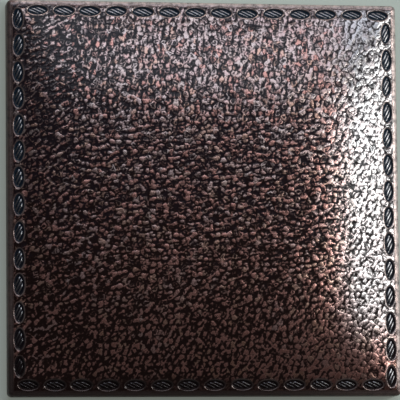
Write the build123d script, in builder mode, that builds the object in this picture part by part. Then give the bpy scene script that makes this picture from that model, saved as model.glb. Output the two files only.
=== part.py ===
from build123d import *

import os
from math import atan2, cos, radians, sin

# Square pillow-faced ceramic wall tile with a stitched border and a keyed back. One
# pressed and fired solid. The back lies on Z = 0, the face looks along +Z, and the
# origin is the centre of the back. All sizes are in millimetres.

# Body of the tile
tile_side = 150.0
edge_height = 6.9
plan_corner_radius = 1.8
face_arris_radius = 1.4
back_edge_chamfer = 0.8

# Skirt: the sloping border that carries the stitches, between the edge and the pillow
skirt_run = 6.8
skirt_rise = 1.6
skirt_top_corner_radius = 0.4

# Pillow: the domed field inside the skirt
pillow_side = tile_side - 2 * skirt_run
pillow_rise = 5.0
pillow_fullness = 4.0
pillow_root_depth = 7.0
pillow_samples = 17

# Border of stitches, laid as a pinwheel round the four sides
stitches_per_side = 14
stitch_pitch = 10.17
stitch_row_inset = 3.75
corner_stitch_setback = 3.15

# One stitch: an oval pocket with a raised length of twisted thread in it
pocket_length = 7.95
pocket_width = 3.96
pocket_end_width = 2.5
pocket_end_bow = 0.26
pocket_depth = 0.9
pocket_wall_run = 0.5
thread_wall_run = 0.6
thread_crest_below_skirt = 0.1
mouth_overshoot = 0.1

# The twist of the thread: slanting grooves that part its strands
strand_lay = -28.0
strand_width = 1.0
strands_per_thread = 3
strand_groove_width = 0.46
strand_groove_depth = 0.4

# Keyed back: parallel grooves that the adhesive grips
groove_count = 12
groove_pitch = 12.0
groove_width = 8.0
groove_end_margin = 9.0
groove_depth = 0.9
groove_wall_draft = 35.0


def pillow_height(x, y):
    """Height of the pillow above the top of the skirt at a point of the field."""
    half = pillow_side / 2
    across = 1 - abs(x / half) ** pillow_fullness
    along = 1 - abs(y / half) ** pillow_fullness
    return pillow_rise * across * along


def pillow_skin():
    """The domed face of the field, as one smooth surface through its formula."""
    half = pillow_side / 2
    stops = [half * (2 * i / (pillow_samples - 1) - 1) for i in range(pillow_samples)]
    root = edge_height + skirt_rise
    rows = [[(x, y, root + pillow_height(x, y)) for x in stops] for y in stops]
    return Face.make_surface_from_array_of_points(rows, tol=1e-4)


def oval(inset):
    """Draw the pocket's outline, moved in by an inset: bowed sides and rounded ends."""
    side = pocket_width / 2 - inset
    shrink = side / (pocket_width / 2)
    tip = pocket_length / 2 - inset
    end = tip - pocket_end_bow * shrink
    blunt = pocket_end_width / 2 * shrink
    with BuildLine() as outline:
        ThreePointArc((-end, blunt), (0, side), (end, blunt))
        ThreePointArc((end, blunt), (tip, 0), (end, -blunt))
        ThreePointArc((end, -blunt), (0, -side), (-end, -blunt))
        ThreePointArc((-end, -blunt), (-tip, 0), (-end, blunt))
    make_face(outline.edges())


def stitch_places():
    """Where each stitch lies on the skirt: every side starts a setback in from its corner."""
    row = tile_side / 2 - stitch_row_inset
    first = row - corner_stitch_setback
    height = edge_height + skirt_rise * stitch_row_inset / skirt_run
    slope = atan2(skirt_rise, skirt_run)
    side = [
        Plane((first - i * stitch_pitch, row, height), (1, 0, 0), (0, sin(slope), cos(slope))).location
        for i in range(stitches_per_side)
    ]
    return [turn * place for turn in PolarLocations(0, 4) for place in side]


# A stitch is made flat, with the skirt's face at Z = 0, and then laid on the skirt
with BuildPart() as thread:
    with BuildSketch(Plane.XY.offset(-pocket_depth)):
        oval(pocket_wall_run)
    with BuildSketch(Plane.XY.offset(-thread_crest_below_skirt)):
        oval(pocket_wall_run + thread_wall_run)
    loft(ruled=True)
    lay = radians(strand_lay)
    crest = (0, 0, -thread_crest_below_skirt)
    section = Plane(crest, (-sin(lay), cos(lay), 0), (cos(lay), sin(lay), 0))
    with BuildSketch(section):
        with GridLocations(strand_width, 0, strands_per_thread - 1, 1):
            Polygon(
                (-strand_groove_width / 2, 0),
                (0, -strand_groove_depth),
                (strand_groove_width / 2, 0),
                align=None,
            )
    extrude(amount=pocket_length, both=True, mode=Mode.SUBTRACT)

with BuildPart() as stitch_hollow:
    with BuildSketch(Plane.XY.offset(-pocket_depth)):
        oval(pocket_wall_run)
    with BuildSketch(Plane.XY.offset(mouth_overshoot)):
        oval(-mouth_overshoot * pocket_wall_run / pocket_depth)
    loft(ruled=True)
    add(thread.part, mode=Mode.SUBTRACT)

with BuildPart() as wall_tile:
    with BuildSketch():
        RectangleRounded(tile_side, tile_side, plan_corner_radius)
    extrude(amount=edge_height)
    with BuildSketch(Plane.XY.offset(edge_height)):
        RectangleRounded(tile_side, tile_side, plan_corner_radius)
    with BuildSketch(Plane.XY.offset(edge_height + skirt_rise)):
        RectangleRounded(pillow_side, pillow_side, skirt_top_corner_radius)
    loft(ruled=True)
    fillet(edges().group_by(Axis.Z)[-3], face_arris_radius)
    chamfer(edges().group_by(Axis.Z)[0], back_edge_chamfer)

    with BuildSketch(Plane.XY):
        with GridLocations(groove_pitch, 0, groove_count, 1):
            Rectangle(groove_width, tile_side - 2 * groove_end_margin)
    extrude(amount=groove_depth, taper=groove_wall_draft, mode=Mode.SUBTRACT)

    with Locations(*stitch_places()):
        add(stitch_hollow.part, mode=Mode.SUBTRACT)

    extrude(pillow_skin(), amount=pillow_root_depth, dir=(0, 0, -1))

wall_tile.part.label = "wall_tile"

os.makedirs("parts", exist_ok=True)
export_step(wall_tile.part, "parts/wall_tile.step")
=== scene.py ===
import logging
import math
from collections.abc import Mapping
from dataclasses import dataclass, field
from enum import Enum

import bmesh
import bpy
from mathutils import Euler, Matrix, Vector


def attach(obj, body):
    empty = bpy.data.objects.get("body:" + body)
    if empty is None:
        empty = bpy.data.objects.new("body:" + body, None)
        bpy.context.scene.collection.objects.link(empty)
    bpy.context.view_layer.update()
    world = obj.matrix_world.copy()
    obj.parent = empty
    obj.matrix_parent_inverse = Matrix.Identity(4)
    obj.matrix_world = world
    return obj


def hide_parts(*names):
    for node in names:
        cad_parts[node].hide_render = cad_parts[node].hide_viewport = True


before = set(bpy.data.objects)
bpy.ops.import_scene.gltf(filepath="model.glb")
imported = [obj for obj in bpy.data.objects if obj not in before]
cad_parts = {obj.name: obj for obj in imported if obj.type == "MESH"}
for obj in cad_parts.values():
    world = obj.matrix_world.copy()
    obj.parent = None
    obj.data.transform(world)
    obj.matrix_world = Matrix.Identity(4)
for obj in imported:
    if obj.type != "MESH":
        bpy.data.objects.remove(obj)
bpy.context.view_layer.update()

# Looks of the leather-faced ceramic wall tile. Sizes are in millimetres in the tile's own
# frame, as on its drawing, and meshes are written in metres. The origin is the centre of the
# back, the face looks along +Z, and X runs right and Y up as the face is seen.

log = logging.getLogger("wall_tile")

MM = 0.001
MM_PER_METRE = 1000.0

Rgb = tuple[float, float, float]
Point = tuple[float, float, float]
Span = tuple[float, float]
Operand = "Value | float"


class Value:
    """A node's output in an expression: each operator adds the Math node that it names."""

    def __init__(self, graph: "Graph", socket: bpy.types.NodeSocket) -> None:
        """Hold an output socket and the graph that its node belongs to."""
        self.graph = graph
        self.socket = socket

    def math(self, operation: str, *others: Operand) -> "Value":
        """Return the Math node's result with this value as its first operand."""
        return self.graph.math(operation, self, *others)

    def __add__(self, other: Operand) -> "Value":
        """Return self + other."""
        return self.math("ADD", other)

    def __radd__(self, other: Operand) -> "Value":
        """Return other + self."""
        return self.graph.math("ADD", other, self)

    def __sub__(self, other: Operand) -> "Value":
        """Return self - other."""
        return self.math("SUBTRACT", other)

    def __rsub__(self, other: Operand) -> "Value":
        """Return other - self."""
        return self.graph.math("SUBTRACT", other, self)

    def __mul__(self, other: Operand) -> "Value":
        """Return self * other."""
        return self.math("MULTIPLY", other)

    def __truediv__(self, other: Operand) -> "Value":
        """Return self / other."""
        return self.math("DIVIDE", other)

    def __pow__(self, other: Operand) -> "Value":
        """Return self ** other."""
        return self.math("POWER", other)

    def __abs__(self) -> "Value":
        """Return abs(self)."""
        return self.math("ABSOLUTE")

    def root(self) -> "Value":
        """Return the square root of this value."""
        return self.math("SQRT")

    def sign(self) -> "Value":
        """Return -1, 0 or 1."""
        return self.math("SIGN")

    def at_most(self, other: Operand) -> "Value":
        """Return the smaller of the two."""
        return self.math("MINIMUM", other)

    def at_least(self, other: Operand) -> "Value":
        """Return the larger of the two."""
        return self.math("MAXIMUM", other)

    def bell(self, centre: float, width: float) -> "Value":
        """Return a bell curve, 1 at the centre and 0.37 a width away from it."""
        away = (self - centre) / width
        return (away * away * -1.0).math("EXPONENT")

    def step(self, low: float, high: float) -> "Value":
        """Return a smooth step of this value.

        Args:
            low: Where the step starts to leave 0.
            high: Where it reaches 1. Below low, the step runs the other way.

        Returns:
            A value from 0 to 1.
        """
        if low > high:
            return 1.0 - self.step(high, low)
        smooth = {"interpolation_type": "SMOOTHSTEP"}
        span = {"Value": self, "From Min": low, "From Max": high}
        return self.graph.node("ShaderNodeMapRange", smooth, span)["Result"]


class Outputs:
    """The outputs of one node, by name."""

    def __init__(self, graph: "Graph", made: bpy.types.Node) -> None:
        """Hold a node and the graph that it belongs to."""
        self.graph = graph
        self.made = made

    def __getitem__(self, name: str) -> Value:
        """Return the output with this name or identifier."""
        return Value(self.graph, self.graph.find(self.made.outputs, name))


class Graph:
    """A node tree, of a material, a world or a geometry modifier, that expressions write into."""

    def __init__(self, tree: bpy.types.NodeTree) -> None:
        """Hold a tree, and empty it."""
        self.tree = tree
        self.tree.nodes.clear()

    @staticmethod
    def find(sockets: bpy.types.NodeInputs, name: str) -> bpy.types.NodeSocket:
        """Return the socket with this identifier, or else the first with this name."""
        for socket in sockets:
            if socket.identifier == name:
                return socket
        return sockets[name]

    def node(
        self,
        kind: str,
        settings: Mapping[str, object] | None = None,
        inputs: Mapping[str | int, object] | None = None,
    ) -> Outputs:
        """Add one node.

        Args:
            kind: The node's type, such as "ShaderNodeTexNoise".
            settings: Its properties, which are set first.
            inputs: A value or a link for each socket, by name, identifier or number.

        Returns:
            The node's outputs.
        """
        made = self.tree.nodes.new(kind)
        for name, setting in (settings or {}).items():
            setattr(made, name, setting)
        for name, value in (inputs or {}).items():
            socket = made.inputs[name] if isinstance(name, int) else self.find(made.inputs, name)
            if isinstance(value, Value):
                self.tree.links.new(value.socket, socket)
            elif isinstance(value, tuple) and len(value) == 3 and socket.type == "RGBA":
                socket.default_value = (*value, 1.0)
            else:
                socket.default_value = value
        return Outputs(self, made)

    def math(self, operation: str, *operands: Operand) -> Value:
        """Add a Math node.

        Args:
            operation: The node's operation, such as "MINIMUM".
            operands: Its operands, in order.

        Returns:
            The result.
        """
        inputs = dict(enumerate(operands))
        return self.node("ShaderNodeMath", {"operation": operation}, inputs)["Value"]

    def vector(self, x: Operand, y: Operand, z: Operand = 0.0) -> Value:
        """Return a vector made of three values."""
        return self.node("ShaderNodeCombineXYZ", None, {"X": x, "Y": y, "Z": z})["Vector"]

    def split(self, vector: Value) -> tuple[Value, Value, Value]:
        """Return a vector's three values."""
        parts = self.node("ShaderNodeSeparateXYZ", None, {"Vector": vector})
        return parts["X"], parts["Y"], parts["Z"]

    def millimetres(self, place: Value) -> tuple[Value, Value, Value]:
        """Return the X, Y and Z of a place that is given in metres."""
        x, y, z = self.split(place)
        return x * MM_PER_METRE, y * MM_PER_METRE, z * MM_PER_METRE

    def place(self) -> tuple[Value, Value, Value]:
        """Return the X, Y and Z of the shaded point on the object."""
        return self.millimetres(self.node("ShaderNodeTexCoord")["Object"])

    def mix(self, factor: Operand, first: Value | Rgb, second: Value | Rgb) -> Value:
        """Blend two colours, 0 for the first and 1 for the second."""
        inputs = {"Factor_Float": factor, "A_Color": first, "B_Color": second}
        return self.node("ShaderNodeMix", {"data_type": "RGBA"}, inputs)["Result_Color"]

    def blend(self, factor: Operand, first: Operand, second: Operand) -> Value:
        """Blend two numbers, 0 for the first and 1 for the second."""
        inputs = {"Factor_Float": factor, "A_Float": first, "B_Float": second}
        return self.node("ShaderNodeMix", {"data_type": "FLOAT"}, inputs)["Result_Float"]

    def bump(self, height: Value) -> Value:
        """Return the normal that a height in millimetres gives the surface."""
        inputs = {"Strength": 1.0, "Distance": MM, "Height": height}
        return self.node("ShaderNodeBump", None, inputs)["Normal"]

    def principled(self, inputs: Mapping[str, object]) -> Value:
        """Return the Principled shader with these inputs."""
        return self.node("ShaderNodeBsdfPrincipled", None, inputs)["BSDF"]

    def mix_shaders(self, factor: Operand, first: Value, second: Value) -> Value:
        """Blend two shaders, 0 for the first and 1 for the second."""
        return self.node("ShaderNodeMixShader", None, {"Fac": factor, 1: first, 2: second})["Shader"]

    def finish(self, shader: Value) -> None:
        """Make a shader the material's surface."""
        self.node("ShaderNodeOutputMaterial", None, {"Surface": shader})


def new_material(name: str) -> tuple[bpy.types.Material, Graph]:
    """Make a material with this name, and return it with the graph of its emptied tree."""
    material = bpy.data.materials.new(name)
    material.use_nodes = True
    return material, Graph(material.node_tree)


@dataclass(frozen=True)
class Fractal:
    """Fractal noise: features in each millimetre, octaves, and how strong the finer are."""

    scale: float
    detail: float = 2.0
    roughness: float = 0.5

    def read(self, graph: Graph, place: Value) -> Value:
        """Return the noise at a place, as a value around 0.5."""
        inputs = {"Vector": place, "Scale": self.scale, "Detail": self.detail}
        inputs["Roughness"] = self.roughness
        return graph.node("ShaderNodeTexNoise", {"noise_dimensions": "3D"}, inputs)["Fac"]


@dataclass(frozen=True)
class Fade:
    """A change over the face: none on one side of a band, full on the other.

    Attributes:
        way: How much X and Y each count in the direction of the change.
        span: Where along that direction the change starts, and where it is full.
        amount: The full change.
    """

    way: tuple[float, float]
    span: Span
    amount: float = 1.0

    def read(self, x: Value, y: Value) -> Value:
        """Return the change at a point of the face."""
        across, up = self.way
        return (x * across + y * up).step(*self.span) * self.amount


@dataclass(frozen=True)
class TileBody:
    """Sizes of the tile's body, of its sloping skirt and of the pillow on it."""

    side: float = 150.0
    edge_height: float = 6.9
    plan_radius: float = 1.8
    arris_radius: float = 1.4
    back_chamfer: float = 0.8
    skirt_run: float = 6.8
    skirt_rise: float = 1.6
    pillow_rise: float = 5.0
    pillow_fullness: float = 4.0

    @property
    def slope(self) -> float:
        """Angle of the skirt, in radians."""
        return math.atan2(self.skirt_rise, self.skirt_run)

    @property
    def arris_drop(self) -> float:
        """Height of the arris arc's centre below the skirt's outer edge."""
        return self.arris_radius * (1 / math.cos(self.slope) - math.tan(self.slope))

    def arris_inset(self, turn: float) -> float:
        """Return how far in from the side the arris has turned this far up, in radians."""
        return self.arris_radius * (1 - math.cos(turn))

    def height(self, x: float, y: float, inset: float) -> float:
        """Place the smooth face.

        Args:
            x: A point's X.
            y: The point's Y.
            inset: How far in it lies from the nearest side.

        Returns:
            The face's height there, over the arris, the skirt or the pillow.
        """
        radius = self.arris_radius
        if inset < self.arris_inset(math.pi / 2 - self.slope):
            return self.edge_height - self.arris_drop + math.sqrt(radius**2 - (radius - inset) ** 2)
        skirt = self.edge_height + min(inset, self.skirt_run) * math.tan(self.slope)
        half = self.side / 2 - self.skirt_run
        across = 1 - min(abs(x / half), 1.0) ** self.pillow_fullness
        along = 1 - min(abs(y / half), 1.0) ** self.pillow_fullness
        return skirt + self.pillow_rise * across * along


@dataclass(frozen=True)
class StitchReading:
    """What the stitched border is at a point.

    Attributes:
        outline: Distance from the nearest pocket's outline, less than 0 inside it.
        height: Height above the skirt, of pocket, lip and thread together.
        strands: 0 along the crests of the strands and -1 in the gaps between them.
        thread: 1 on the thread and 0 off it.
        lip: 1 on the lip round a pocket and 0 off it.
    """

    outline: Value
    height: Value
    strands: Value
    thread: Value
    lip: Value


@dataclass(frozen=True)
class StitchedBorder:
    """The pinwheel of stitches: oval pockets, each with a length of twisted thread in it.

    The plays say how much the stitches differ, and corner_shift how far off the diagonals one
    row gives way to the next. A span says where a form starts and where it is full.
    """

    row: float = 70.85
    first: float = 67.7
    pitch: float = 10.11
    count: int = 14
    corner_shift: float = 2.2
    size_play: float = 0.07
    along_play: float = 0.5
    row_play: float = 0.25
    lean_play: float = 0.07
    pocket_half_length: float = 4.0
    pocket_half_width: float = 1.98
    pocket_depth: float = 0.85
    least_slope: float = 0.02
    mouth: float = 0.12
    wall_run: float = 0.7
    lip_place: float = 0.2
    lip_height: float = 0.14
    lip_width: float = 0.3
    thread_half_length: float = 3.3
    thread_half_width: float = 1.3
    thread_height: float = 0.5
    thread_span: Span = (0.1, 0.5)
    strand_width: float = 1.1
    strand_lay: float = -27.0
    strand_cut: float = 0.16
    strand_span: Span = (0.3, 0.95)

    def side_frame(self, x: Value, y: Value) -> tuple[Value, Value, Value]:
        """Find the side of the tile that a point belongs to.

        Args:
            x: The point's X.
            y: The point's Y.

        Returns:
            The distance along that side, the distance out from the centre, and the side's
            number from -3 to 3.
        """
        rising = (x + y - y.sign() * self.corner_shift).sign()
        falling = (y - x + x.sign() * self.corner_shift).sign()
        is_row = rising * falling * 0.5 + 0.5
        is_column = 1.0 - is_row
        along = rising * (x * is_row - y * is_column)
        out = rising * (y * is_row + x * is_column)
        return along, out, rising * 2.0 + falling

    def stitch_frame(self, graph: Graph, x: Value, y: Value) -> tuple[Value, Value]:
        """Return a point's distances along the nearest stitch and across it, from its middle."""
        along, out, side = self.side_frame(x, y)
        number = ((self.first - along) / self.pitch).math("ROUND")
        number = number.at_least(0.0).at_most(self.count - 1.0)
        seed = {"Vector": graph.vector(number, side)}
        chance = graph.node("ShaderNodeTexWhiteNoise", {"noise_dimensions": "2D"}, seed)["Color"]
        shift, lean, size = (part - 0.5 for part in graph.split(chance))
        swell = 1.0 + size * self.size_play
        u = (along - self.first + number * self.pitch + shift * self.along_play) / swell
        v = (out - self.row + lean * self.row_play + u * lean * self.lean_play) / swell
        return u, v

    def pocket_outline(self, u: Value, v: Value) -> Value:
        """Return the distance from the pocket's oval outline, less than 0 inside it."""
        long, wide = self.pocket_half_length, self.pocket_half_width
        along = u / long
        across = v / wide
        slope = ((along / long) ** 2.0 + (across / wide) ** 2.0).root()
        return (along * along + across * across - 1.0) / (slope * 2.0 + self.least_slope)

    def read(self, graph: Graph, x: Value, y: Value) -> StitchReading:
        """Write the border's shape as an expression.

        Args:
            graph: The graph to write into.
            x: A point's X.
            y: The point's Y.

        Returns:
            The border at that point.
        """
        u, v = self.stitch_frame(graph, x, y)
        outline = self.pocket_outline(u, v)
        basin = outline.step(self.mouth, -self.wall_run)
        lip = outline.bell(self.lip_place, self.lip_width)
        long = u / self.thread_half_length
        wide = v / self.thread_half_width
        belly = (1.0 - (long * long + wide * wide) ** 2.0).at_least(0.0).root()
        thread = belly.step(*self.thread_span)
        lay = math.radians(self.strand_lay)
        across = v * math.cos(lay) - u * math.sin(lay)
        wave = abs((across * (math.pi / self.strand_width)).math("COSINE"))
        strands = (wave.step(*self.strand_span) - 1.0) * thread
        height = lip * self.lip_height - basin * self.pocket_depth + belly * self.thread_height
        return StitchReading(outline, height + strands * self.strand_cut, strands, thread, lip)


@dataclass(frozen=True)
class GrainReading:
    """What the leather grain is at a point.

    Attributes:
        dome: Round pebble form, 0 in the gaps and 1 on the tops.
        crease: 1 in the fine dark creases and 0 off them.
        pit: 1 in the follicle pits that some pebbles have, and 0 off them.
        tone: A number from 0 to 1 for each pebble.
        hue: Another such number.
    """

    dome: Value
    crease: Value
    pit: Value
    tone: Value
    hue: Value


@dataclass(frozen=True)
class GrainWay:
    """A way that the grain's ridges run over a part of the face.

    Attributes:
        angle: The way, in degrees up from X.
        parts: The fades of which the largest says where the ridges run that way.
    """

    angle: float
    parts: tuple[Fade, ...]

    def share(self, x: Value, y: Value) -> Value:
        """Return how far the ridges run this way at a point, from 0 to 1."""
        first, *others = (part.read(x, y) for part in self.parts)
        for other in others:
            first = first.at_least(other)
        return first


@dataclass(frozen=True)
class LeatherGrain:
    """Pebbled hide grain: creased pebbles on ridges whose way turns over the face.

    Each of the ways is laid over the ones before it. The shares say how much the ridges, a
    pebble's roundness and its chance raise it. A span says where a form starts and is full.
    """

    pebble: float = 2.2
    ragged: float = 0.64
    ragged_scale: float = 0.8
    regular: float = 0.95
    ridge_length: float = 2.9
    ridge_width: float = 1.32
    ridge_spread: float = 0.14
    centre_way: float = 9.0
    ways: tuple[GrainWay, ...] = (
        GrainWay(78.0, (Fade((0.0, 1.0), (17.0, 42.0)),)),
        GrainWay(28.0, (Fade((1.0, 0.0), (-36.0, -64.0)), Fade((0.0, 1.0), (-14.0, -38.0)))),
        GrainWay(58.0, (Fade((1.0, 0.0), (38.0, 62.0)), Fade((-0.25, 1.0), (-30.0, -55.0)))),
    )
    ridge_share: float = 1.12
    round_share: float = 1.85
    round_span: Span = (0.0, 0.40)
    round_mean: float = 0.6
    tone_share: float = 0.8
    dome_span: Span = (-2.4, 2.6)
    pit_span: Span = (0.23, 0.37)
    pit_chance: Span = (0.45, 0.75)
    pit_climb: float = 0.004
    crease_span: Span = (0.09, 0.01)
    crease_ridges: Span = (1.2, -0.8)

    def ridges(self, graph: Graph, x: Value, y: Value, angle: float) -> Value:
        """Write the ridges that run one way.

        Args:
            graph: The graph to write into.
            x: A point's X.
            y: The point's Y.
            angle: The way they run, in degrees up from X.

        Returns:
            Their height, around 0 and mostly between -2 and 2.
        """
        turn = math.radians(angle)
        along = (x * math.cos(turn) + y * math.sin(turn)) / self.ridge_length
        across = (y * math.cos(turn) - x * math.sin(turn)) / self.ridge_width
        noise = Fractal(scale=1.0, detail=1.0).read(graph, graph.vector(along, across, angle))
        return (noise - 0.5) / self.ridge_spread

    @staticmethod
    def join(share: Value, first: Value, second: Value) -> Value:
        """Join two sets of ridges so that they stay as strong between them as on either side.

        Args:
            share: 0 for the first set, 1 for the second.
            first: A set of ridges.
            second: The other set.

        Returns:
            The joined ridges.
        """
        rest = 1.0 - share
        strength = (share * share + rest * rest).root()
        return (first * rest + second * share) / strength

    def cells(self, graph: Graph, place: Value, feature: str) -> Outputs:
        """Add the Voronoi texture whose cells are the pebbles, read at a place in pebbles."""
        settings = {"voronoi_dimensions": "2D", "feature": feature}
        inputs = {"Vector": place, "Scale": 1.0, "Randomness": self.regular}
        return graph.node("ShaderNodeTexVoronoi", settings, inputs)

    def bed(self, graph: Graph, x: Value, y: Value) -> Value:
        """Return a point's place among the pebbles, in pebbles and ragged by noise."""
        noise = {"Vector": graph.vector(x, y), "Scale": self.ragged_scale, "Detail": 1.0}
        shifts = graph.node("ShaderNodeTexNoise", None, noise)["Color"]
        shift_x, shift_y, _ = graph.split(shifts)
        return graph.vector(
            x / self.pebble + (shift_x - 0.5) * self.ragged,
            y / self.pebble + (shift_y - 0.5) * self.ragged,
        )

    def read(self, graph: Graph, x: Value, y: Value) -> GrainReading:
        """Write the grain as an expression.

        Args:
            graph: The graph to write into.
            x: A point's X.
            y: The point's Y.

        Returns:
            The grain at that point.
        """
        run = self.ridges(graph, x, y, self.centre_way)
        for way in self.ways:
            run = self.join(way.share(x, y), run, self.ridges(graph, x, y, way.angle))
        bed = self.bed(graph, x, y)
        edge = self.cells(graph, bed, "DISTANCE_TO_EDGE")["Distance"]
        tone, pitted, hue = graph.split(self.cells(graph, bed, "F1")["Color"])
        rise = run * self.ridge_share + (tone - 0.5) * self.tone_share
        rise = rise + (edge.step(*self.round_span) - self.round_mean) * self.round_share
        return GrainReading(
            dome=rise.step(*self.dome_span),
            crease=edge.step(*self.crease_span) * run.step(*self.crease_ridges),
            pit=edge.step(*self.pit_span) * (pitted + y * self.pit_climb).step(*self.pit_chance),
            tone=tone,
            hue=hue,
        )


@dataclass(frozen=True)
class Relief:
    """The whole face as one height: border, grain and the fades between them."""

    border: StitchedBorder = field(default_factory=StitchedBorder)
    grain: LeatherGrain = field(default_factory=LeatherGrain)
    grain_depth: float = 0.08
    rim_span: Span = (73.4, 72.6)
    pocket_span: Span = (0.08, 0.4)

    def grain_cover(self, x: Value, y: Value, stitches: StitchReading) -> Value:
        """Return where the grain lies: 1 on the pillow and round the pockets, 0 on the rim."""
        reach = abs(x).at_least(abs(y))
        return reach.step(*self.rim_span) * stitches.outline.step(*self.pocket_span)

    def height(self, graph: Graph, x: Value, y: Value) -> Value:
        """Return the height above the smooth face of the relief that the mesh carries."""
        stitches = self.border.read(graph, x, y)
        grain = self.grain.read(graph, x, y)
        cover = self.grain_cover(x, y, stitches)
        return stitches.height + grain.dome * cover * self.grain_depth


class Slot(Enum):
    """The material slots of the tile's mesh."""

    FACE = 0
    SIDE = 1
    BACK = 2


@dataclass(frozen=True)
class FaceReading:
    """What the glaze goes by at a point of the face.

    The parts from cover to arris are 1 on what they name and 0 off it. The last three are
    noise, from broad to finer than a pebble.
    """

    x: Value
    y: Value
    stitches: StitchReading
    grain: GrainReading
    cover: Value
    pocket: Value
    plain: Value
    arris: Value
    cloud: Value
    mottle: Value
    speck: Value


@dataclass(frozen=True)
class GlazeColours:
    """The colours of the lustre where it is worn to metal, and of the patina elsewhere."""

    copper: Rgb = (0.57, 0.27, 0.225)
    rose: Rgb = (0.56, 0.39, 0.37)
    amber: Rgb = (0.58, 0.285, 0.18)
    sand: Rgb = (0.52, 0.41, 0.38)
    # Painted highlight: pale grey metal laid down the right side, where the window's bright band
    # falls.
    pale_highlight: Rgb = (0.45, 0.44, 0.45)
    rim: Rgb = (0.50, 0.35, 0.32)
    # Painted highlight: a light pink laid on the arris and the pocket lips of the right and top
    # sides, which face the lamps.
    arris: Rgb = (0.76, 0.62, 0.58)
    steel: Rgb = (0.04, 0.055, 0.08)
    silver: Rgb = (0.30, 0.275, 0.28)
    patina: Rgb = (0.015, 0.0085, 0.012)
    # Umber is the patina's browner tone, and also the painted shade laid on the metal along the foot
    # and the left rim.
    umber: Rgb = (0.015, 0.0065, 0.0055)
    # Painted reflection: a bluish dark laid in the pockets for the cool light that they mirror.
    cool_reflection: Rgb = (0.014, 0.025, 0.040)


@dataclass(frozen=True)
class GlazeWearAndLight:
    """How far the patina is worn off the metal, and where.

    The fades give more bare metal, and so a lighter face, toward the top and right, down
    the right side and at the lower right corner, and less toward the left and the upper
    left. They and the climb, which adds bare metal toward the top, are partly painted light
    and shade: they brighten and darken the face after how the light falls on it. A bare span
    runs from the wear at which metal starts to show to that at which it is bare.
    """

    # Partly painted light and shade: more bare, brighter metal where the face lies lit, less where
    # it lies darker.
    fades: tuple[Fade, ...] = (
        Fade((0.5, 1.0), (5.0, 75.0), 0.10),
        Fade((1.0, 0.0), (34.0, 60.0), 0.18),
        Fade((1.0, -1.0), (45.0, 110.0), 0.18),
        Fade((1.0, 0.0), (-25.0, -70.0), -0.07),
        Fade((-0.8, 1.0), (55.0, 120.0), -0.12),
    )
    # Partly painted sheen: more bare metal for each millimetre toward the top.
    climb: float = 0.0014
    pit: float = 0.8
    crease: float = 0.4
    mottle: float = 0.3
    speck: float = 0.6
    bare: Span = (0.14, 0.90)
    rim_mottle: float = 0.9
    rim_speck: float = 0.5
    rim_bare: Span = (0.25, 0.95)
    lip_bare: Span = (0.45, 1.1)
    lip_metal: float = 0.35
    strand_bare: Span = (0.3, 0.9)

    def strands(self, at: FaceReading) -> Value:
        """Return the metal on the strands of the threads."""
        return (at.stitches.strands + 1.0).step(*self.strand_bare) * at.stitches.thread

    def metal(self, at: FaceReading) -> Value:
        """Write where metal shows.

        Args:
            at: The point of the face.

        Returns:
            0 under patina and 1 on bare metal.
        """
        wear = at.grain.dome * (1.0 - at.grain.pit * self.pit) - at.grain.crease * self.crease
        wear = wear + (at.mottle - 0.5) * self.mottle + (at.speck - 0.5) * self.speck
        # Partly painted light and shade, after how the light falls over the face.
        wear = wear + at.y * self.climb
        for fade in self.fades:
            wear = wear + fade.read(at.x, at.y)
        tops = wear.step(*self.bare) * at.cover
        rub = at.mottle * self.rim_mottle + at.speck * self.rim_speck
        rim = rub.step(*self.rim_bare) * at.plain
        lips = (at.stitches.lip * (at.mottle + 0.5)).step(*self.lip_bare) * self.lip_metal
        return tops.at_least(rim).at_least(lips).at_least(self.strands(at))


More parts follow.
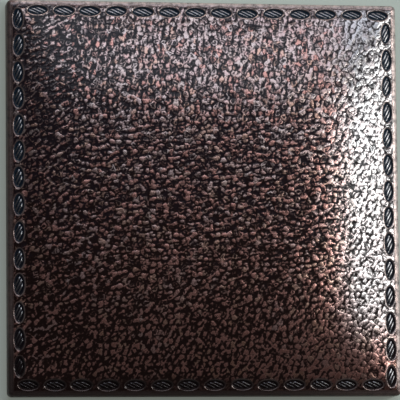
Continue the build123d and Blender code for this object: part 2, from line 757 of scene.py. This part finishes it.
@dataclass(frozen=True)
class GlazeTint:
    """Which colour of the glaze lies where.

    A span is where a colour starts to show and where it shows in full, a climb is how much
    further it shows for each millimetre of Y, and a share is how much of it shows at most.
    """

    colours: GlazeColours = field(default_factory=GlazeColours)
    rose_span: Span = (0.3, 0.9)
    # Partly painted sheen: the rose tint, paler and greyer, climbs toward the top, where the top
    # light falls.
    rose_sheen_climb: float = 0.005
    amber_span: Span = (1.2, 1.45)
    amber_share: float = 0.6
    sand_span: Span = (1.3, 1.7)
    # Partly painted sheen: the sand tint climbs toward the top as well.
    sand_sheen_climb: float = 0.006
    sand_share: float = 0.7
    # Painted highlight: where the pale colour shows, down the right side above the foot.
    highlight_band_right: Fade = Fade((1.0, 0.0), (44.0, 60.0), 0.75)
    highlight_band_up: Fade = Fade((0.0, 1.0), (-66.0, -40.0))
    # These fades leave out the left column and the bottom row, so the arris and lip colour is a
    # painted highlight on the lit sides only.
    lit_right: Fade = Fade((1.0, 0.0), (-73.0, -70.0))
    lit_up: Fade = Fade((0.0, 1.0), (-73.0, -70.0))
    lip_highlight_share: float = 0.4
    silver_span: Span = (0.62, 0.98)
    # Painted shade: these darken the metal toward umber along the foot row, the lower border and the
    # left rim.
    foot_row_shade: Fade = Fade((0.0, 1.0), (-66.0, -70.0))
    foot_shade_slant: Fade = Fade((0.15, 1.0), (-52.0, -72.0))
    left_rim_shade: Fade = Fade((1.0, 0.0), (-70.0, -73.0), 0.7)
    foot_shade_share: float = 0.8
    umber_span: Span = (0.25, 0.75)
    # Partly painted reflection: the patina runs from brown at the foot to bluer toward the top,
    # where it mirrors the cool top light.
    umber_climb: float = -0.008
    # Painted reflection: the bluish pocket colour grows toward the top.
    cool_reflection_up: Fade = Fade((0.0, 1.0), (-90.0, 30.0))

    def metal(self, graph: Graph, at: FaceReading) -> Value:
        """Write the colour of the worn metal.

        Args:
            graph: The graph to write into.
            at: The point of the face.

        Returns:
            The colour: coppery on the grain, rosy on the rim, silver on the threads, rosier and
            sandier toward the top (partly painted sheen), pale down the right side and light on
            the lit arris and lips (painted highlights), and dark along the tile's foot and left
            rim (painted shade).
        """
        colours = self.colours
        # Rosier and sandier metal toward the top: partly painted sheen, partly tone that differs at
        # random from pebble to pebble.
        rose = (at.grain.hue + at.y * self.rose_sheen_climb).step(*self.rose_span)
        amber = (at.grain.hue + at.cloud).step(*self.amber_span) * self.amber_share
        sand = (at.grain.tone + at.mottle + at.y * self.sand_sheen_climb).step(*self.sand_span)
        # Painted highlight down the right side.
        pale_highlight = self.highlight_band_right.read(at.x, at.y) * self.highlight_band_up.read(at.x, at.y)
        colour = graph.mix(rose, colours.copper, colours.rose)
        colour = graph.mix(amber, colour, colours.amber)
        colour = graph.mix(sand * self.sand_share, colour, colours.sand)
        colour = graph.mix(pale_highlight, colour, colours.pale_highlight)

        # Painted highlights: the light arris colour on the arris and on the lips, on the lit sides
        # only.
        lit = self.lit_right.read(at.x, at.y) * self.lit_up.read(at.x, at.y)
        rim = graph.mix(at.arris * lit, colours.rim, colours.arris)
        colour = graph.mix(at.plain, colour, rim)
        colour = graph.mix(at.stitches.lip * lit * self.lip_highlight_share, colour, colours.arris)
        crest = (at.stitches.strands + 1.0).step(*self.silver_span) * at.stitches.thread
        colour = graph.mix(at.pocket, colour, graph.mix(crest, colours.steel, colours.silver))

        # Painted shade along the tile's foot and left rim, where the face lies darkest.
        foot = (1.0 - at.cover).at_least(self.foot_row_shade.read(at.x, at.y))
        foot = foot * self.foot_shade_slant.read(at.x, at.y)
        foot = foot.at_least(at.plain * self.left_rim_shade.read(at.x, at.y))
        return graph.mix(foot * self.foot_shade_share, colour, colours.umber)

    def hollows(self, graph: Graph, at: FaceReading) -> Value:
        """Write the colour of the patina.

        Args:
            graph: The graph to write into.
            at: The point of the face.

        Returns:
            The colour: nearly black; browner toward the foot and bluer toward the top, partly
            painted reflection of the cool top light; bluish in the upper pockets, a painted
            reflection.
        """
        # Browner toward the foot and bluer toward the top: partly painted reflection.
        brown = (at.mottle + at.y * self.umber_climb).step(*self.umber_span)
        colour = graph.mix(brown, self.colours.patina, self.colours.umber)
        # Painted reflection of cool light in the pockets.
        return graph.mix(at.pocket * self.cool_reflection_up.read(at.x, at.y), colour, self.colours.cool_reflection)


@dataclass(frozen=True)
class LustreGlaze:
    """Antiqued copper lustre: dark patina in the hollows and worn metal on the tops.

    The carvings are heights in the bump, which refines the mesh. The shades say how strongly
    matt soot lies over gaps, creases and pockets: partly painted shade, a matt and nearly
    unreflecting dark, deepest in the pockets and thinner toward the top.
    """

    relief: Relief = field(default_factory=Relief)
    wear: GlazeWearAndLight = field(default_factory=GlazeWearAndLight)
    tint: GlazeTint = field(default_factory=GlazeTint)
    cloud: Fractal = Fractal(0.06)
    mottle: Fractal = Fractal(0.42, 2.0, 0.55)
    speck: Fractal = Fractal(1.6, 1.0)
    pocket_span: Span = (0.1, -0.3)
    arris_span: Span = (73.3, 74.3)
    patina_roughness: float = 0.13
    metal_roughness: float = 0.24
    speck_roughness: float = 0.08
    arris_roughness: float = 0.3
    index: float = 1.5
    coat: float = 0.12
    coat_roughness: float = 0.14
    grain_carving: float = 0.045
    pit_carving: float = 0.35
    strand_carving: float = 0.12
    speck_carving: float = 0.03
    mottle_carving: float = 0.05
    # The soot shader is partly painted shade: a matt, nearly unreflecting dark over gaps, creases
    # and pockets.
    soot_and_shade_roughness: float = 0.9
    soot_and_shade_specular: float = 0.05
    gap_metal: float = 0.55
    gap_shade: float = 1.45
    # Painted shade: less soot toward the top, where the face catches the sheen.
    gap_up: Fade = Fade((0.0, 1.0), (8.0, 50.0), 0.45)
    crease_shade: float = 0.3
    # Painted shade in the pockets, darker deeper in.
    pocket_shade: float = 0.9
    pocket_shade_span: Span = (-0.1, -0.5)

    def read(self, graph: Graph) -> FaceReading:
        """Return the relief and the noise at the shaded point."""
        x, y, z = graph.place()
        spot = graph.vector(x, y, z)
        stitches = self.relief.border.read(graph, x, y)
        cover = self.relief.grain_cover(x, y, stitches)
        pocket = stitches.outline.step(*self.pocket_span)
        return FaceReading(
            x=x,
            y=y,
            stitches=stitches,
            grain=self.relief.grain.read(graph, x, y),
            cover=cover,
            pocket=pocket,
            plain=(1.0 - cover) * (1.0 - pocket),
            arris=abs(x).at_least(abs(y)).step(*self.arris_span),
            cloud=self.cloud.read(graph, spot),
            mottle=self.mottle.read(graph, spot),
            speck=self.speck.read(graph, spot),
        )

    def carving(self, at: FaceReading) -> Value:
        """Return the height of the relief that is finer than the mesh."""
        grain = (at.grain.dome - at.grain.pit * self.pit_carving) * at.cover
        height = grain * self.grain_carving + at.stitches.strands * self.strand_carving
        height = height + (at.speck - 0.5) * self.speck_carving
        return height + (at.mottle - 0.5) * self.mottle_carving

    def shade(self, at: FaceReading, metal: Value) -> Value:
        """Write how far the matt soot and painted shade of the hollows lie over the glaze.

        Args:
            at: The point of the face.
            metal: 0 under patina and 1 on bare metal.

        Returns:
            A value from 0, and over 1 where the soot and painted shade are complete.
        """
        strength = self.gap_shade - self.gap_up.read(at.x, at.y)
        gap = (self.gap_metal - metal).at_least(0.0) * strength
        gap = (gap + at.grain.crease * self.crease_shade) * at.cover
        pocket = at.pocket * (1.0 - self.wear.strands(at)) * self.pocket_shade
        return gap.at_least(pocket * at.stitches.outline.step(*self.pocket_shade_span))

    def dress(self) -> bpy.types.Material:
        """Make and return the face's material."""
        material, graph = new_material("lustre_glaze")
        at = self.read(graph)
        metal = self.wear.metal(at)
        hollows = self.tint.hollows(graph, at)
        rough = graph.blend(metal, self.patina_roughness, self.metal_roughness)
        rough = rough + at.speck * self.speck_roughness + at.arris * at.plain * self.arris_roughness
        bump = graph.bump(self.carving(at))
        glazed = {
            "Base Color": graph.mix(metal, hollows, self.tint.metal(graph, at)),
            "Metallic": metal,
            "Roughness": rough,
            "IOR": self.index,
            "Coat Weight": self.coat,
            "Coat Roughness": self.coat_roughness,
            "Normal": bump,
        }
        # The soot shader: the hollows' colour, matt and nearly unreflecting, partly painted shade.
        soot_and_shade_inputs = {
            "Base Color": hollows,
            "Roughness": self.soot_and_shade_roughness,
            "Specular IOR Level": self.soot_and_shade_specular,
            "Normal": bump,
        }
        glaze, soot_and_shade = graph.principled(glazed), graph.principled(soot_and_shade_inputs)
        graph.finish(graph.mix_shaders(self.shade(at, metal), glaze, soot_and_shade))
        return material


@dataclass(frozen=True)
class GlazedSide:
    """The tile's sides: thin glaze that ran down from the face, over bare clay at the foot.

    The runs say how far the streaks and the grit move the glaze's foot.
    """

    glaze: Rgb = (0.060, 0.024, 0.018)
    worn: Rgb = (0.20, 0.075, 0.05)
    clay: Rgb = (0.32, 0.17, 0.11)
    streak: Fractal = Fractal(0.5, 3.0, 0.6)
    streak_stretch: float = 0.15
    grit: Fractal = Fractal(2.6, 3.0, 0.65)
    foot_span: Span = (1.3, 2.0)
    streak_run: float = 3.0
    grit_run: float = 0.8
    worn_streak: float = 0.8
    worn_grit: float = 0.5
    worn_span: Span = (0.6, 0.85)
    worn_metal: float = 0.6
    clay_roughness: float = 0.85
    glaze_roughness: float = 0.38
    coat: float = 0.3
    coat_roughness: float = 0.3
    grit_depth: float = 0.08
    streak_depth: float = 0.15

    def dress(self) -> bpy.types.Material:
        """Make and return the sides' material."""
        material, graph = new_material("glazed_side")
        x, y, z = graph.place()
        streak = self.streak.read(graph, graph.vector(x, y, z * self.streak_stretch))
        grit = self.grit.read(graph, graph.vector(x, y, z))
        foot = z + (streak - 0.5) * self.streak_run + (grit - 0.5) * self.grit_run
        glazed = foot.step(*self.foot_span)
        wear = streak * self.worn_streak + grit * self.worn_grit
        worn = wear.step(*self.worn_span) * glazed
        side = {
            "Base Color": graph.mix(glazed, self.clay, graph.mix(worn, self.glaze, self.worn)),
            "Metallic": worn * self.worn_metal,
            "Roughness": graph.blend(glazed, self.clay_roughness, self.glaze_roughness),
            "Coat Weight": glazed * self.coat,
            "Coat Roughness": self.coat_roughness,
            "Normal": graph.bump(grit * self.grit_depth + streak * self.streak_depth),
        }
        graph.finish(graph.principled(side))
        return material


@dataclass(frozen=True)
class BareClay:
    """The unglazed back: pressed red clay with fine grit, pinholes and kiln dust."""

    clay: Rgb = (0.40, 0.205, 0.13)
    dust: Rgb = (0.50, 0.31, 0.22)
    scorched: Rgb = (0.24, 0.115, 0.075)
    cloud: Fractal = Fractal(0.035, 3.0)
    grit: Fractal = Fractal(1.8, 4.0, 0.65)
    hole_scale: float = 0.45
    hole_span: Span = (0.16, 0.05)
    dust_span: Span = (0.35, 0.65)
    grit_span: Span = (0.52, 0.72)
    grit_share: float = 0.6
    hole_share: float = 0.7
    grit_depth: float = 0.10
    hole_depth: float = 0.25
    roughness: float = 0.82
    grit_roughness: float = 0.12
    specular: float = 0.3

    def dress(self) -> bpy.types.Material:
        """Make and return the back's material."""
        material, graph = new_material("bare_clay")
        spot = graph.vector(*graph.place())
        dusty = self.cloud.read(graph, spot).step(*self.dust_span)
        grit = self.grit.read(graph, spot)
        holes = graph.node(
            "ShaderNodeTexVoronoi",
            {"voronoi_dimensions": "3D", "feature": "F1"},
            {"Vector": spot, "Scale": self.hole_scale},
        )["Distance"].step(*self.hole_span)
        colour = graph.mix(dusty, self.clay, self.dust)
        colour = graph.mix(grit.step(*self.grit_span) * self.grit_share, colour, self.scorched)
        colour = graph.mix(holes * self.hole_share, colour, self.scorched)
        clay = {
            "Base Color": colour,
            "Roughness": self.roughness + grit * self.grit_roughness,
            "Specular IOR Level": self.specular,
            "Normal": graph.bump(grit * self.grit_depth - holes * self.hole_depth),
        }
        graph.finish(graph.principled(clay))
        return material


@dataclass(frozen=True)
class KeyedBack:
    """The parallel grooves pressed into the back for the adhesive."""

    count: int = 12
    pitch: float = 12.0
    width: float = 8.0
    end_margin: float = 9.0
    depth: float = 0.9
    draft: float = 35.0

    @property
    def wall_run(self) -> float:
        """How far the walls come in from the mouth to the groove's floor."""
        return self.depth * math.tan(math.radians(self.draft))

    def outline(self, body: TileBody, centre: float, inset: float, height: float) -> list[Vector]:
        """Trace one groove at an inset from its mouth.

        Args:
            body: The tile's body.
            centre: The groove's X.
            inset: How far inside the mouth's edge the line runs.
            height: The line's Z.

        Returns:
            Its points, in order.
        """
        half_width = self.width / 2 - inset
        half_length = body.side / 2 - self.end_margin - inset
        corners = ((1, 1), (-1, 1), (-1, -1), (1, -1))
        return [Vector((centre + sx * half_width, sy * half_length, height)) for sx, sy in corners]

    def centres(self) -> list[float]:
        """Return each groove's X."""
        return [(i - (self.count - 1) / 2) * self.pitch for i in range(self.count)]


@dataclass
class WallTile:
    """The tile as one closed mesh: face, sides and keyed back.

    The face is a grid, finer from border_start to border_end, with a line at each of the
    arris's turns in degrees. The relief fades in over press_span.
    """

    body: TileBody = field(default_factory=TileBody)
    back: KeyedBack = field(default_factory=KeyedBack)
    relief: Relief = field(default_factory=Relief)
    pillow_cell: float = 0.56
    border_cell: float = 0.3
    border_start: float = 68.6
    border_end: float = 73.7
    arris_turns: tuple[float, ...] = (0.0, 19.0, 38.0, 57.0, 76.76)
    side_steps: tuple[float, ...] = (4.2, 2.5)
    press_span: Span = (74.0, 73.6)
    press_depth: float = 0.05
    crisp_height: float = 0.2
    crisp_angle: float = 20.0

    def stops(self) -> list[float]:
        """Return the grid's lines from the centre to one side, finer over the border."""
        inner = round(self.border_start / self.pillow_cell)
        lines = [self.border_start * i / inner for i in range(inner)]
        ring = round((self.border_end - self.border_start) / self.border_cell)
        step = (self.border_end - self.border_start) / ring
        lines += [self.border_start + step * i for i in range(ring)]
        lines += [self.border_end]
        turns = [math.radians(turn) for turn in reversed(self.arris_turns)]
        lines += [self.body.side / 2 - self.body.arris_inset(turn) for turn in turns]
        return lines

    def face_point(self, x: float, y: float) -> Vector:
        """Place one point of the smooth face.

        Args:
            x: The grid line's X.
            y: The grid line's Y.

        Returns:
            The point, with the arris and the plan's rounded corners.
        """
        half = self.body.side / 2
        inset = half - max(abs(x), abs(y))
        start = half - self.body.plan_radius
        if abs(x) > start and abs(y) > start:
            arm = Vector((abs(x) - start, abs(y) - start))
            arm = arm.normalized() * max(arm)
            x = math.copysign(start + arm.x, x)
            y = math.copysign(start + arm.y, y)
        return Vector((x, y, self.body.height(x, y, inset)))

    def face(self, mesh: bmesh.types.BMesh) -> list[bmesh.types.BMVert]:
        """Lay the face's grid.

        Args:
            mesh: The mesh to add to.

        Returns:
            The grid's rim, in order round the tile.
        """
        half = self.stops()
        lines = [-line for line in reversed(half[1:])] + half
        last = len(lines) - 1
        grid = [[mesh.verts.new(self.face_point(x, y) * MM) for x in lines] for y in lines]
        for j in range(last):
            for i in range(last):
                square = (grid[j][i], grid[j][i + 1], grid[j + 1][i + 1], grid[j + 1][i])
                mesh.faces.new(square).material_index = Slot.FACE.value
        rim = [grid[0][i] for i in range(last)]
        rim += [grid[j][last] for j in range(last)]
        rim += [grid[last][i] for i in range(last, 0, -1)]
        rim += [grid[j][0] for j in range(last, 0, -1)]
        return rim

    def sides(
        self, mesh: bmesh.types.BMesh, rim: list[bmesh.types.BMVert]
    ) -> list[bmesh.types.BMVert]:
        """Hang the four sides and the back's chamfer from the face's rim.

        Args:
            mesh: The mesh to add to.
            rim: The face's rim.

        Returns:
            The rim of the flat back.
        """
        above = rim
        shrink = 1 - self.body.back_chamfer / (self.body.side / 2)
        rings = [(height, 1.0) for height in self.side_steps]
        rings += [(self.body.back_chamfer, 1.0), (0.0, shrink)]
        for height, scale in rings:
            below = [mesh.verts.new((v.co.x * scale, v.co.y * scale, height * MM)) for v in above]
            for i, vertex in enumerate(above):
                j = (i + 1) % len(above)
                square = (vertex, below[i], below[j], above[j])
                mesh.faces.new(square).material_index = Slot.SIDE.value
            above = below
        return above

    def groove(self, mesh: bmesh.types.BMesh, centre: float) -> list[bmesh.types.BMVert]:
        """Sink one groove's walls and floor.

        Args:
            mesh: The mesh to add to.
            centre: The groove's X.

        Returns:
            The corners of its mouth, in order.
        """
        rings = []
        for inset, height in ((0.0, 0.0), (self.back.wall_run, self.back.depth)):
            corners = self.back.outline(self.body, centre, inset, height)
            rings.append([mesh.verts.new(corner * MM) for corner in corners])
        mouth, floor = rings
        for i in range(len(mouth)):
            j = (i + 1) % len(mouth)
            mesh.faces.new((mouth[i], mouth[j], floor[j], floor[i])).material_index = Slot.BACK.value
        mesh.faces.new(floor).material_index = Slot.BACK.value
        return mouth

    def underside(self, mesh: bmesh.types.BMesh, rim: list[bmesh.types.BMVert]) -> None:
        """Close the back, with its grooves.

        Args:
            mesh: The mesh to add to.
            rim: The rim of the flat back.
        """
        loops = [rim] + [self.groove(mesh, centre) for centre in self.back.centres()]
        edges = []
        for loop in loops:
            for i, vertex in enumerate(loop):
                after = loop[(i + 1) % len(loop)]
                edges.append(mesh.edges.get((vertex, after)) or mesh.edges.new((vertex, after)))
        filled = bmesh.ops.triangle_fill(mesh, use_beauty=True, edges=edges, normal=(0, 0, -1))
        for part in filled["geom"]:
            if isinstance(part, bmesh.types.BMFace):
                part.material_index = Slot.BACK.value

    def crisp_edges(self, mesh: bmesh.types.BMesh) -> None:
        """Shade all smooth but the edges of the chamfer, the back and its grooves."""
        for face in mesh.faces:
            face.smooth = True
        top = (self.body.back_chamfer + self.crisp_height) * MM
        least = math.radians(self.crisp_angle)
        for edge in mesh.edges:
            low = all(v.co.z < top for v in edge.verts)
            if low and len(edge.link_faces) == 2 and edge.calc_face_angle(0.0) > least:
                edge.smooth = False

    def press_relief(self, piece: bpy.types.Object) -> None:
        """Press border and grain into the face, by a geometry modifier that is then applied.

        Args:
            piece: The tile.
        """
        tree = bpy.data.node_groups.new("pressed_relief", "GeometryNodeTree")
        tree.interface.new_socket("Geometry", in_out="INPUT", socket_type="NodeSocketGeometry")
        tree.interface.new_socket("Geometry", in_out="OUTPUT", socket_type="NodeSocketGeometry")
        graph = Graph(tree)
        x, y, z = graph.millimetres(graph.node("GeometryNodeInputPosition")["Position"])
        inside = abs(x).at_least(abs(y)).step(*self.press_span)
        on_face = z.math("GREATER_THAN", self.body.edge_height - self.press_depth)
        lift = self.relief.height(graph, x, y) * inside * on_face * MM
        source = graph.node("NodeGroupInput")["Geometry"]
        move = {"Geometry": source, "Offset": graph.vector(0.0, 0.0, lift)}
        moved = graph.node("GeometryNodeSetPosition", None, move)["Geometry"]
        graph.node("NodeGroupOutput", None, {"Geometry": moved})
        modifier = piece.modifiers.new("pressed_relief", "NODES")
        modifier.node_group = tree
        pressed = piece.evaluated_get(bpy.context.evaluated_depsgraph_get())
        mesh = bpy.data.meshes.new_from_object(pressed)
        piece.modifiers.remove(modifier)
        smooth = piece.data
        piece.data = mesh
        bpy.data.meshes.remove(smooth)

    def build(self) -> bpy.types.Object:
        """Build the tile and dress it.

        Returns:
            The tile.
        """
        mesh = bmesh.new()
        rim = self.face(mesh)
        self.underside(mesh, self.sides(mesh, rim))
        bmesh.ops.recalc_face_normals(mesh, faces=mesh.faces)
        self.crisp_edges(mesh)
        data = bpy.data.meshes.new("leather_face_tile")
        mesh.to_mesh(data)
        mesh.free()
        for material in (LustreGlaze(self.relief), GlazedSide(), BareClay()):
            data.materials.append(material.dress())
        piece = bpy.data.objects.new("leather_face_tile", data)
        bpy.context.scene.collection.objects.link(piece)
        self.press_relief(piece)
        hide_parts("wall_tile")
        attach(piece, "root")
        return piece


@dataclass(frozen=True)
class SoftLight:
    """One soft rectangular lamp, with its place, what it aims at and its two sides."""

    name: str
    place: Point
    aim: Point
    size: tuple[float, float]
    watts: float
    colour: Rgb

    def hang(self) -> None:
        """Add the lamp to the scene."""
        lamp = bpy.data.lights.new(self.name, "AREA")
        lamp.shape = "RECTANGLE"
        lamp.size, lamp.size_y = (side * MM for side in self.size)
        lamp.energy = self.watts
        lamp.color = self.colour
        holder = bpy.data.objects.new(self.name, lamp)
        place = Vector(self.place) * MM
        turn = (place - Vector(self.aim) * MM).to_track_quat("Z", "Y")
        holder.matrix_world = Matrix.Translation(place) @ turn.to_matrix().to_4x4()
        bpy.context.scene.collection.objects.link(holder)


@dataclass(frozen=True)
class ShotCamera:
    """The camera of the photograph, fitted to the tile's corners and sides in it.

    Its turns are in degrees and its reach in metres.
    """

    eye: Point = (-195.7, -132.9, 1214.0)
    turn: Point = (6.262, -9.057, -0.59)
    focal_px: float = 3247.0
    picture_px: float = 400.0
    sensor: float = 36.0
    reach: Span = (0.05, 20.0)

    def stand(self) -> None:
        """Add the camera to the scene and make it the scene's own."""
        lens = bpy.data.cameras.new("camera")
        lens.sensor_width = self.sensor
        lens.lens = self.focal_px / self.picture_px * self.sensor
        lens.clip_start, lens.clip_end = self.reach
        camera = bpy.data.objects.new("camera", lens)
        turn = Euler([math.radians(angle) for angle in self.turn], "XYZ")
        camera.matrix_world = Matrix.Translation(Vector(self.eye) * MM) @ turn.to_matrix().to_4x4()
        bpy.context.scene.collection.objects.link(camera)
        bpy.context.scene.camera = camera


@dataclass(frozen=True)
class Studio:
    """Plain pale floor, soft light and the camera.

    The window gives the bright band down the tile's right side, the two glows the light lines
    on its right and far arris, and the sheen and the softbox the soft light at its top. The
    haze is an even tone over the floor that only the camera sees, and lifts its shade.
    """

    floor: Rgb = (0.70, 0.77, 0.69)
    floor_size: float = 1600.0
    floor_roughness: float = 0.8
    floor_specular: float = 0.2
    haze: float = 0.35
    haze_level: float = 0.55
    air: Rgb = (0.048, 0.046, 0.046)
    lights: tuple[SoftLight, ...] = (
        SoftLight(
            "side_window", (410.0, 76.0, 470.0), (50.0, 0.0, 8.0),
            (90.0, 270.0), 0.80, (0.91, 1.0, 1.0),
        ),
        SoftLight(
            "right_glow", (640.0, 60.0, 200.0), (75.0, 0.0, 5.0),
            (140.0, 500.0), 0.85, (0.97, 1.0, 0.98),
        ),
        SoftLight(
            "far_glow", (-20.0, 640.0, 200.0), (0.0, 75.0, 5.0),
            (500.0, 140.0), 0.8, (1.0, 0.95, 0.94),
        ),
        SoftLight(
            "top_sheen", (20.0, 420.0, 700.0), (0.0, 0.0, 8.0),
            (700.0, 420.0), 1.75, (0.75, 0.86, 1.0),
        ),
        SoftLight(
            "high_softbox", (360.0, 320.0, 760.0), (0.0, 0.0, 8.0),
            (560.0, 560.0), 0.14, (0.95, 0.98, 1.0),
        ),
    )
    camera: ShotCamera = field(default_factory=ShotCamera)

    def lay_floor(self) -> None:
        """Lay the plain floor that the tile rests on."""
        half = self.floor_size / 2 * MM
        data = bpy.data.meshes.new("plain_floor")
        corners = [(-half, -half, 0), (half, -half, 0), (half, half, 0), (-half, half, 0)]
        data.from_pydata(corners, [], [(0, 1, 2, 3)])
        material, graph = new_material("plain_floor")
        matt = {"Roughness": self.floor_roughness, "Specular IOR Level": self.floor_specular}
        paper = graph.principled({"Base Color": self.floor, **matt})
        tone = {"Color": self.floor, "Strength": self.haze_level}
        haze = graph.node("ShaderNodeEmission", None, tone)["Emission"]
        seen = graph.node("ShaderNodeLightPath")["Is Camera Ray"]
        graph.finish(graph.mix_shaders(seen * self.haze, paper, haze))
        data.materials.append(material)
        floor = bpy.data.objects.new("plain_floor", data)
        bpy.context.scene.collection.objects.link(floor)

    def fill_air(self) -> None:
        """Give the room its even light."""
        world = bpy.data.worlds.new("room")
        bpy.context.scene.world = world
        world.use_nodes = True
        graph = Graph(world.node_tree)
        air = graph.node("ShaderNodeBackground", None, {"Color": self.air, "Strength": 1.0})
        graph.node("ShaderNodeOutputWorld", None, {"Surface": air["Background"]})

    def set_up(self) -> None:
        """Set up floor, light and camera."""
        self.lay_floor()
        self.fill_air()
        for lamp in self.lights:
            lamp.hang()
        self.camera.stand()
        bpy.context.scene.view_settings.view_transform = "Standard"


def main() -> None:
    """Build the studio and the tile, and report each piece."""
    logging.basicConfig(level=logging.INFO, format="%(name)s: %(message)s")
    Studio().set_up()
    tile = WallTile().build()
    triangles = sum(len(face.vertices) - 2 for face in tile.data.polygons)
    log.info("%s: %d vertices, %d triangles", tile.name, len(tile.data.vertices), triangles)


if __name__ == "__main__":
    main()
